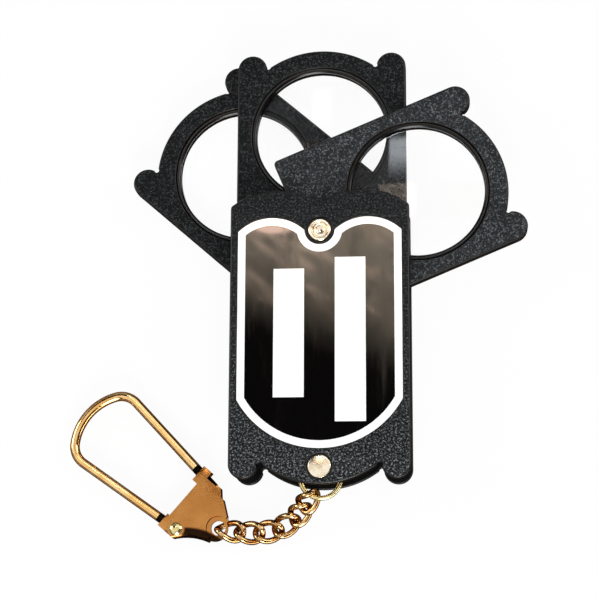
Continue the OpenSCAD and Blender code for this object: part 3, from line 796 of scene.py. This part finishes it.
def finish_cover(shell, name, out):
    """A cover as a piece. The face toward the lenses is as plain and as dark as the walls: painted
    shade.
    """
    cover = shell.piece(
        name + "_moulding", [cover_plastic, painted_dark_edges, shade_painted_walls], about_pivot())
    paint_edge_shade(cover, shell.flat, in_shade=lambda polygon: polygon.normal.z * out < 0)
    dress(cover, "case", name)
    print(name, len(cover.data.polygons), "faces")


# %% Covers
shell, (low, high), (low_holes, high_holes) = cover_shell(LID_Z, TOP_Z, 0.15, 0.4, 1)
bed, bed_top = shell.stack([
    (label_outline(-LABEL_GAP), TOP_Z - BED_DEPTH), (label_outline(-LABEL_GAP), TOP_Z - 0.12),
    (label_outline(-LABEL_GAP - 0.04), TOP_Z - 0.04), (label_outline(-LABEL_GAP - 0.1), TOP_Z)],
    inward=True)
shell.fill(low, low_holes, up=False)
shell.fill(high, [*high_holes, bed_top], up=True)
shell.fill(bed, [], up=True)
finish_cover(shell, "front_cover", 1)

shell, (low, high), (low_holes, high_holes) = cover_shell(0.0, COVER_T, 0.4, 0.2, -1)
shell.fill(low, low_holes, up=False)
shell.fill(high, high_holes, up=True)
finish_cover(shell, "back_cover", -1)

# %% [markdown]
# ## Label
# The label is a thin glossy sheet in the bed of the front cover. A white border and two blank
# white panels are printed on it, so they stand up by only a hair. They could be a pattern in
# one material, but loops of their own with a second material keep their edges crisp from near.

# %% Label
SHEET_Z, PRINT_Z, LABEL_Z, BORDER_W = 12.2, 12.45, 12.5, 1.6
PANEL_W, PANELS = 6.3, ((-6.3, 8.2, 26.7), (6.3, 5.9, 34.0))


def box_outline(x, drop, width, length):
    """A rectangle that hangs from its top edge, counter-clockwise."""
    left, right, low, high = x - width / 2, x + width / 2, -drop - length, -drop
    return [(left, low), (right, low), (right, high), (left, high)]


shell = Shell()
low, edge = shell.stack([
    (label_outline(0.0), SHEET_Z), (label_outline(0.0), LABEL_Z - 0.02),
    (label_outline(0.02), LABEL_Z)])
inner_low, inner_high = shell.stack(
    [(label_outline(BORDER_W), PRINT_Z), (label_outline(BORDER_W - 0.01), LABEL_Z)], inward=True)
panels = [
    shell.stack([(box_outline(x, drop, PANEL_W, length), z) for z in (PRINT_Z, LABEL_Z)])
    for x, drop, length in PANELS
]
shell.fill(low, [], up=False)
printed = len(shell.faces)
shell.fill(edge, [inner_high], up=True)
for _, panel_top in panels:
    shell.fill(panel_top, [], up=True)
ink = len(shell.faces)
shell.fill(inner_low, [panel_low for panel_low, _ in panels], up=True)
label = shell.piece("label_sheet", [label_black, label_white], about_pivot())
for polygon in label.data.polygons:
    polygon.material_index = 1 if printed <= polygon.index < ink else 0
dress(label, "case", "label_plate")
print("label:", len(label.data.polygons), "faces")

# %% [markdown]
# In a view from behind, a flat glossy sheet mirrors a whole lamp and turns white. A
# photographer would move the lamp. Here light linking keeps the lamps off the label, and a
# twin of each lights the label alone without showing in its gloss.

# %% Lamps for the label
others, alone = (bpy.data.collections.new(name) for name in ("All but label", "Label alone"))
for group, state in ((others, "EXCLUDE"), (alone, "INCLUDE")):
    group.objects.link(label)
    group.collection_objects[0].light_linking.link_state = state
for lamp in LAMPS:
    lamp.light_linking.receiver_collection = others
    twin = lamp.copy()
    twin.name = lamp.name + "_label"
    twin.visible_glossy = False
    twin.light_linking.receiver_collection = alone
    bpy.context.scene.collection.objects.link(twin)
print("the label has", len(LAMPS), "lamps of its own")

# %% [markdown]
# ## Lens frames
# The three frames are one moulding, placed at three angles and heights, so one loop makes them
# all. The bore is stepped: a ledge carries the lens, and a wider seat above it takes the ring
# that holds the lens in.

# %% Lens frames
FRAME_T, LENS_R, CLEAR_R, SEAT_R, LEDGE_T, PIVOT_HOLE = 2.8, 14.7, 13.8, 14.8, 0.95, 1.55
FRAMES = {"front": (7.85, 22.7), "middle": (4.9, 90), "rear": (1.95, 139)}
FINE_STEPS = 160

for name, (height, angle) in FRAMES.items():
    shell = Shell()
    low, high = shell.stack(rounded(frame_outline, 0.0, FRAME_T, 0.3, 0.35))
    hole_low, hole_high = shell.stack(
        [(circle(PIVOT_HOLE), z) for z in (0.0, FRAME_T)], inward=True)
    bore = [(CLEAR_R + 0.12, 0.0), (CLEAR_R, 0.12), (CLEAR_R, LEDGE_T), (SEAT_R, LEDGE_T),
            (SEAT_R, FRAME_T - 0.2), (SEAT_R + 0.06, FRAME_T - 0.07), (SEAT_R + 0.2, FRAME_T)]
    bore_from = len(shell.faces)
    bore_low, bore_high = shell.stack(
        [(circle(r, (THROW, 0), FINE_STEPS), z) for r, z in bore], inward=True)
    bore_to = len(shell.faces) - FINE_STEPS
    shell.fill(low, [hole_low, bore_low], up=False)
    shell.fill(high, [hole_high, bore_high], up=True)
    # The front frame's plastic is a lighter copy of the others': painted light on one moulding.
    top_plastic = light_painted_front if name == "front" else frame_plastic
    item = shell.piece(
        f"{name}_frame_moulding", [top_plastic, painted_dark_edges, shade_painted_walls, shade_painted_bores],
        about_pivot(angle, height))
    paint_edge_shade(item, shell.flat)
    # The bore walls take the darkest plastic: painted shade in the bore.
    for polygon in item.data.polygons[bore_from:bore_to]:
        polygon.material_index = 3
    dress(item, f"frame_{name}", f"lens_frame_{name}")
print("a frame has", len(item.data.polygons), "faces")

# %% [markdown]
# ## Turned pieces
# Lenses, their rings and the rivets are round, so each is one profile spun about an axis. The
# profile is a list of radius and height, and a point on the axis becomes a single pole.

# %% Lathe
def lathe(name, profile, material, place, steps, closed=False):
    """Spins a profile of (radius, height) that runs from the bottom up its outer side."""
    shell = Shell()
    rings = []
    for radius, height in profile:
        if radius < 1e-6:
            shell.points.append((0.0, 0.0, height))
            rings.append([len(shell.points) - 1])
        else:
            rings.append(shell.loop(circle(radius, steps=steps), height))
    pairs = list(zip(rings, rings[1:])) + ([(rings[-1], rings[0])] if closed else [])
    for lower, upper in pairs:
        if len(lower) == 1:
            shell.faces += [[lower[0], upper[(k + 1) % steps], upper[k]] for k in range(steps)]
        elif len(upper) == 1:
            shell.faces += [[lower[k], lower[(k + 1) % steps], upper[0]] for k in range(steps)]
        else:
            shell.wall(lower, upper)
    return shell.piece(name, [material], place)


def cap(radius, rise, foot, steps, upward=True):
    """Profile of a shallow dome from its rim to the axis, or from the axis to its rim."""
    sphere = (radius ** 2 + rise ** 2) / (2 * rise)
    span = math.asin(radius / sphere)
    points = []
    for k in range(steps + 1):
        a = span * (1 - k / steps)
        lift = sphere * math.cos(a) - (sphere - rise)
        points.append((sphere * math.sin(a), foot + lift if upward else foot - lift))
    points[-1] = (0.0, points[-1][1])
    return points if upward else points[::-1]


# %% Lenses and their rings
LENS_EDGE, BULGE_R = 0.8, 13.7
BULGES = {"front": 0.85, "middle": 0.75, "rear": 0.65}
RING_Z, RING_TOP = 1.85, 2.65
RIM_Z = LEDGE_T + LENS_EDGE
RING_PROFILE = [
    (CLEAR_R, RING_Z + 0.1), (CLEAR_R + 0.08, RING_Z), (LENS_R - 0.05, RING_Z),
    (LENS_R, RING_Z + 0.05), (LENS_R, RING_TOP - 0.12), (LENS_R - 0.12, RING_TOP),
    (CLEAR_R + 0.45, RING_TOP), (CLEAR_R + 0.3, RING_TOP - 0.04), (CLEAR_R, RING_TOP - 0.35)]

for name, (height, angle) in FRAMES.items():
    place = about_pivot(angle, height) @ Matrix.Translation((THROW, 0, 0))
    profile = cap(BULGE_R, BULGES[name], LEDGE_T, 24, upward=False)
    profile += [(LENS_R - 0.05, LEDGE_T), (LENS_R, LEDGE_T + 0.05), (LENS_R, RIM_Z - 0.05),
                (LENS_R - 0.05, RIM_Z)]
    profile += cap(BULGE_R, BULGES[name], RIM_Z, 24)
    lens = lathe(f"{name}_lens_glass", profile, glasses[name], place, FINE_STEPS)
    lens.visible_shadow = False
    dress(lens, f"frame_{name}", f"lens_{name}")
    ring = lathe(f"{name}_lens_ring", RING_PROFILE, ring_plastic, place, FINE_STEPS, closed=True)
    dress(ring, f"frame_{name}", f"retaining_ring_{name}")
print("three lenses of", 2 * LENS_R, "mm")

# %% [markdown]
# Both rivets have a flat lower head. The pivot rivet's upper end is rolled over a hollow, and
# the post rivet's is a low crown.

# %% Rivets
HEAD_T, ROLL_R, ROLL_AT = 0.55, 0.4, (2.0, 0.15)
PIVOT_SHANK, PIVOT_HEAD, POST_SHANK, POST_HEAD = 1.5, 2.4, 1.0, 2.3
FOOT, RIVET_STEPS = TOP_Z - HEAD_RECESS, 96


def rivet_start(shank_r, head_r):
    """Profile of a rivet's lower head and shank, up to the foot of its upper end."""
    low = HEAD_RECESS - HEAD_T
    return [(0.0, low), (head_r - 0.12, low), (head_r, low + 0.12), (head_r, HEAD_RECESS),
            (shank_r, HEAD_RECESS), (shank_r, FOOT)]


rolled = [(ROLL_AT[0] + ROLL_R * math.cos(math.radians(a)),
           ROLL_AT[1] + ROLL_R * math.sin(math.radians(a))) for a in range(-40, 181, 20)]
hollow = [(1.5, 0.22), (1.05, 0.30), (0.9, 0.24), (0.75, 0.12), (0.0, 0.10)]
profile = rivet_start(PIVOT_SHANK, PIVOT_HEAD)
profile += [(r, FOOT + z) for r, z in [(2.36, 0.0), *rolled, *hollow]]
pivot_rivet = lathe("pivot_rivet_metal", profile, rivet_metal, about_pivot(), RIVET_STEPS)
dress(pivot_rivet, "case", "pivot_rivet")

profile = rivet_start(POST_SHANK, POST_HEAD) + [(POST_HEAD, FOOT), (POST_HEAD, FOOT + 0.28)]
profile += cap(2.24, 0.22, FOOT + 0.32, 8)
post_rivet = lathe("post_rivet_metal", profile, rivet_metal,
                   about_pivot() @ Matrix.Translation((0, -POST_DROP, 0)), RIVET_STEPS)
dress(post_rivet, "case", "post_rivet")
for node_name in ("spacer_sleeve", "friction_washer_rear", "friction_washer_lower",
                  "friction_washer_upper", "friction_washer_front"):
    for place_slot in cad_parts[node_name].material_slots:
        place_slot.material = rivet_metal
print("two rivets, and the sleeve and washers in the same metal")

# %% [markdown]
# ## Wire pieces
# The jump ring and the loop of the snap are round wire along a path. A Geometry Nodes tree
# turns any chain of edges into wire: it makes a curve of the edges, sweeps a circle along it
# and closes the ends. The same tree serves both, with other values for its named inputs.

# %% Tree helpers
def new_tree(name, inputs):
    """A Geometry Nodes tree with these named inputs, what it is given and its end."""
    tree = bpy.data.node_groups.new(name, "GeometryNodeTree")
    for in_out in ("INPUT", "OUTPUT"):
        tree.interface.new_socket("Geometry", in_out=in_out, socket_type="NodeSocketGeometry")
    for label, (kind, value) in inputs.items():
        socket = tree.interface.new_socket(label, in_out="INPUT", socket_type="NodeSocket" + kind)
        if value is not None:
            socket.default_value = value
    return tree, add(tree, "NodeGroupInput").outputs, add(tree, "NodeGroupOutput")


def swept(tree, curve, wire, sides, **inputs):
    """Round wire along a curve."""
    rim = add(tree, "GeometryNodeCurvePrimitiveCircle", Resolution=sides,
              Radius=product(tree, wire, 0.5))
    return add(tree, "GeometryNodeCurveToMesh", Curve=curve, Profile_Curve=rim.outputs[0],
               **inputs).outputs[0]


def finish_tree(tree, geometry, material, end):
    """Ends a tree in smooth faces, Realize Instances and Set Material."""
    smooth = add(tree, "GeometryNodeSetShadeSmooth", Geometry=geometry)
    real = add(tree, "GeometryNodeRealizeInstances", Geometry=smooth.outputs[0])
    paint = add(tree, "GeometryNodeSetMaterial", Geometry=real.outputs[0], Material=material)
    link(tree, paint.outputs[0], end.inputs[0])


def grow(name, mesh, tree, **values):
    """Runs a tree on a mesh with these named inputs, and gives a plain mesh object."""
    source = add_object(name + "_source", mesh)
    modifier = source.modifiers.new("Tree", "NODES")
    modifier.node_group = tree
    for item in tree.interface.items_tree:
        if item.in_out == "INPUT" and item.name in values:
            modifier[item.identifier] = values[item.name]
    graph = bpy.context.evaluated_depsgraph_get()
    result = bpy.data.meshes.new_from_object(source.evaluated_get(graph))
    result.name = name
    bpy.data.objects.remove(source)
    return add_object(name, result)


# %% Wire tree
wire_tree, given, end = new_tree("Wire along edges", {
    "Wire": ("Float", 0.002), "Sides": ("Int", 24), "Material": ("Material", None)})
path = add(wire_tree, "GeometryNodeMeshToCurve", Mesh=given["Geometry"])
finish_tree(wire_tree, swept(wire_tree, path.outputs[0], given["Wire"], given["Sides"],
                             Fill_Caps=True), given["Material"], end)


def path_mesh(name, points, closed):
    """A mesh of edges through these points, in mm."""
    mesh = bpy.data.meshes.new(name)
    count = len(points)
    edges = [(k, (k + 1) % count) for k in range(count if closed else count - 1)]
    mesh.from_pydata([Vector(p) * MM for p in points], edges, [])
    return mesh


# %% Jump ring
JUMP_R, JUMP_WIRE = 4.1, 1.0
JUMP_AT = Vector((-0.1412, -50.6945 + THROW, 7.0))
points = [JUMP_AT + Vector((x, y, 0)) for x, y in circle(JUMP_R)]
jump_ring = grow("jump_ring_wire", path_mesh("ring path", points, True), wire_tree,
                 Wire=JUMP_WIRE * MM, Sides=24, Material=ring_metal)
dress(jump_ring, "ring", "jump_ring")
print("jump ring:", len(jump_ring.data.polygons), "faces")

# %% [markdown]
# ## Curb chain
# Every link is the same twisted oval, so one tree makes them all. It bends a circle of points
# by a formula: a rounded oval whose two ends are turned against each other about its long
# axis. Each link then gets its own heading, fall, roll and place, and stays a piece of its own,
# because it turns on its neighbour.

# %% Link tree
link_tree, given, end = new_tree("Curb link", {
    "Length": ("Float", 6.7 * MM), "Width": ("Float", 5.0 * MM), "Wire": ("Float", 1.25 * MM),
    "Twist": ("Float", math.radians(50)), "Roll": ("Float", 0.0), "Power": ("Float", 2 / 2.6),
    "Steps": ("Int", 96), "Sides": ("Int", 20), "Heading": ("Float", 0.0),
    "Fall": ("Float", 0.0), "Place": ("Vector", (0, 0, 0)), "Material": ("Material", None)})
share = calc(link_tree, "DIVIDE", add(link_tree, "GeometryNodeInputIndex").outputs[0],
             given["Steps"])
turn = product(link_tree, share, 2 * math.pi)


def soft_wave(tree, kind, angle, power):
    """A sine or cosine that is pushed outwards by a power, with its sign kept."""
    wave = calc(tree, kind, angle)
    size = calc(tree, "POWER", calc(tree, "ABSOLUTE", wave), power)
    return product(tree, calc(tree, "SIGN", wave), size)


def half_less_wire(tree, label):
    """Half of a given outer size, measured to the middle of the wire."""
    return product(tree, calc(tree, "SUBTRACT", given[label], given["Wire"]), 0.5)


ahead = soft_wave(link_tree, "COSINE", turn, given["Power"])
aside = soft_wave(link_tree, "SINE", turn, given["Power"])
bent = calc(link_tree, "MULTIPLY_ADD", given["Twist"], ahead, given["Roll"])
reach = product(link_tree, aside, half_less_wire(link_tree, "Width"))
spot = add(link_tree, "ShaderNodeCombineXYZ",
           X=product(link_tree, ahead, half_less_wire(link_tree, "Length")),
           Y=product(link_tree, reach, calc(link_tree, "COSINE", bent)),
           Z=product(link_tree, reach, calc(link_tree, "SINE", bent)))
line = add(link_tree, "GeometryNodeCurvePrimitiveCircle", Resolution=given["Steps"])
shaped = add(link_tree, "GeometryNodeSetPosition", Geometry=line.outputs[0],
             Position=spot.outputs[0])
angles = add(link_tree, "ShaderNodeCombineXYZ", Y=given["Fall"], Z=given["Heading"])
moved = add(link_tree, "GeometryNodeTransform", Translation=given["Place"],
            Geometry=swept(link_tree, shaped.outputs[0], given["Wire"], given["Sides"]),
            Rotation=angles.outputs[0])
finish_tree(link_tree, moved.outputs[0], given["Material"], end)
print("link tree has", len(link_tree.nodes), "nodes")

# %% Chain
HEADINGS = (233.5, 226.5, 211.5, 189.5, 177.5, 172.5)
FALLS = (42, 38, 9, -3, -5, -5)
ROLLS = (-26, -15, -16, -8, 8, 27)
PITCH, FIRST_REACH, CONTACT = 4.0, 1.55, 240.5


def link_direction(k):
    """Where link k points, from the ring toward the snap."""
    head, fall = math.radians(HEADINGS[k]), math.radians(FALLS[k])
    return Vector((math.cos(head) * math.cos(fall), math.sin(head) * math.cos(fall),
                   -math.sin(fall)))


contact = math.radians(CONTACT)
spot_at = JUMP_AT + JUMP_R * Vector((math.cos(contact), math.sin(contact), 0))
spot_at += FIRST_REACH * link_direction(0)
for k in range(len(HEADINGS)):
    if k:
        spot_at = spot_at + PITCH / 2 * (link_direction(k - 1) + link_direction(k))
    piece = grow(f"chain_link_{k + 1}_wire", bpy.data.meshes.new("link seed"), link_tree,
                 Heading=math.radians(HEADINGS[k]), Fall=math.radians(FALLS[k]),
                 Roll=math.radians(ROLLS[k]), Place=tuple(spot_at * MM), Material=chain_metal)
    dress(piece, f"link_{k + 1}", f"chain_link_{k + 1}")
    low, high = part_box(f"chain_link_{k + 1}")
    off = max(abs(c - (low[a] + high[a]) / 2) for a, c in enumerate(spot_at * MM))
    print("link", k + 1, "faces", len(piece.data.polygons), "off by mm", round(1000 * off, 2))

# %% [markdown]
# ## Snap
# The loop is round wire with two tight bends and a wide arc between them, and the arc's radius
# is worked out so that they meet without a kink. Its two legs run into a plate of folded sheet
# metal, where a small rivet holds the left one. The legs are dark where they enter it.

# %% Wire loop
SNAP_AT, SNAP_TURN, SNAP_Z = Vector((-30.2446, -60.5983 + THROW, 0)), 49.1, 2.5
LEG_HALF, LEAN, LOOP_LEN, LOOP_WIRE = 5.75, 6.1, 30.2, 2.0
BEND_R, FAR_HALF = 4.4, 34
LEFT_NECK, RIGHT_NECK = 4.6, 5.5
LEFT_LEG = (1.25, 3.0, LEFT_NECK, 8.0, 14.0, 20.0)
RIGHT_LEG = (20.0, 14.0, 8.0, RIGHT_NECK, 3.6, -0.35)

snap_place = Matrix.Translation(SNAP_AT) @ Matrix.Rotation(math.radians(SNAP_TURN), 4, "Z")
slope = math.tan(math.radians(LEAN))
far = math.radians(FAR_HALF)
far_m = ((LEG_HALF + slope * (LOOP_LEN - BEND_R) - BEND_R / math.cos(math.radians(LEAN)))
         / (math.sin(far) + slope * (1 - math.cos(far))))
far_y = LOOP_LEN - far_m - BEND_R
bend = (far_m * math.sin(far), far_y + far_m * math.cos(far))
points = [(-LEG_HALF - y * slope, y) for y in LEFT_LEG]
points += arc((-bend[0], bend[1]), BEND_R, 180 + LEAN, 90 + FAR_HALF, 24)
points += arc((0, far_y), far_m + BEND_R, 90 + FAR_HALF, 90 - FAR_HALF, 32)[1:-1]
points += arc(bend, BEND_R, 90 - FAR_HALF, -LEAN, 24)
points += [(LEG_HALF + y * slope, y) for y in RIGHT_LEG]
points = [snap_place @ Vector((x + LEG_HALF, y, SNAP_Z)) for x, y in points]
loop = grow("snap_loop_wire", path_mesh("loop path", points, False), wire_tree,
            Wire=LOOP_WIRE * MM, Sides=32, Material=wire_metal)
loop.data.materials.append(neck_metal)
from_snap = snap_place.inverted()
for polygon in loop.data.polygons:
    spot = from_snap @ (polygon.center / MM)
    if spot.y < (LEFT_NECK if spot.x < LEG_HALF else RIGHT_NECK):
        polygon.material_index = 1
dress(loop, "loop", "snap_loop")
print("loop:", len(loop.data.polygons), "faces")

# %% Snap rivet
RIVET_R, DOME_R, DOME_RISE, PLATE_LOW, PLATE_TOP = 0.8, 1.35, 0.5, 1.0, 4.0
profile = cap(DOME_R, DOME_RISE, PLATE_LOW, 12, upward=False)
profile += [(RIVET_R, PLATE_LOW), (RIVET_R, PLATE_TOP)] + cap(DOME_R, DOME_RISE, PLATE_TOP, 12)
snap_rivet = lathe("snap_rivet_metal", profile, ring_metal, snap_place, 64)
dress(snap_rivet, "snap", "snap_rivet")
print("snap rivet", round(2 * DOME_R, 2), "mm wide")

# %% [markdown]
# The plate is folded and pressed, so its sheet has no sharp corner. Its CAD mesh has the right
# shape already. A copy of it is merged into one skin, its flat facets are joined, and every
# sharp edge gets a narrow bevel that catches the light.

# %% Snap plate
SAME_POINT, SAME_FACET, FOLD, BEVEL, SOFT_FOLD = 0.000002, 2, 35, 0.00014, 25
skin = bmesh.new()
skin.from_mesh(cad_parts["snap_plate"].data)
bmesh.ops.remove_doubles(skin, verts=skin.verts, dist=SAME_POINT)
bmesh.ops.dissolve_limit(
    skin, angle_limit=math.radians(SAME_FACET), verts=skin.verts, edges=skin.edges)
sharp = [edge for edge in skin.edges
         if len(edge.link_faces) == 2 and edge.calc_face_angle(0.0) > math.radians(FOLD)]
bmesh.ops.bevel(skin, geom=sharp, offset=BEVEL, offset_type="OFFSET", segments=2,
                profile=0.6, affect="EDGES", clamp_overlap=True)
bmesh.ops.triangulate(skin, faces=[face for face in skin.faces if len(face.verts) > 4])
plate_mesh = bpy.data.meshes.new("snap_plate_metal")
skin.to_mesh(plate_mesh)
skin.free()
plate_mesh.polygons.foreach_set("use_smooth", [True] * len(plate_mesh.polygons))
plate_mesh.set_sharp_from_angle(angle=math.radians(SOFT_FOLD))
plate_mesh.materials.clear()
plate_mesh.materials.append(plate_metal)
dress(add_object("snap_plate_metal", plate_mesh), "snap", "snap_plate")
print("snap plate:", len(plate_mesh.polygons), "faces")

# %% [markdown]
# Where the sheet bends down round the loop's leg, it mirrors the dark under the case, and that
# is a painted reflection in the base colour. The band follows a wide curve across the plate and
# stops short of the rivet, so it is drawn by the distance from two points.

# %% Painted dark reflection on the plate's fold
BAY_AT, BAY_R, RIVET_CLEAR = (-8.6, -10.08, PLATE_TOP), (0.0137, 0.0131), (0.0015, 0.0021)
tree = plate_metal.node_tree
shader = tree.nodes["Principled BSDF"]
gold = shader.inputs["Base Color"].links[0].from_socket


def away(tree, point):
    """Distance in metres from a point of the snap, which is in mm."""
    node = add(tree, "ShaderNodeVectorMath")
    node.operation = "DISTANCE"
    link(tree, object_place(tree), node.inputs[0])
    node.inputs[1].default_value = snap_place @ Vector(point) * MM
    return node.outputs["Value"]


shade = product(tree, fit(tree, away(tree, BAY_AT), *BAY_R),
                fit(tree, away(tree, (0.0, 0.0, PLATE_TOP)), *RIVET_CLEAR))
# Painted reflection: the gold is blended to dark brown along the fold.
link(tree, blend(tree, shade, gold, srgb(40, 24, 14)), shader.inputs["Base Color"])
print("plate metal has", len(tree.nodes), "nodes")

# %% Measure and finish
low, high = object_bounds()
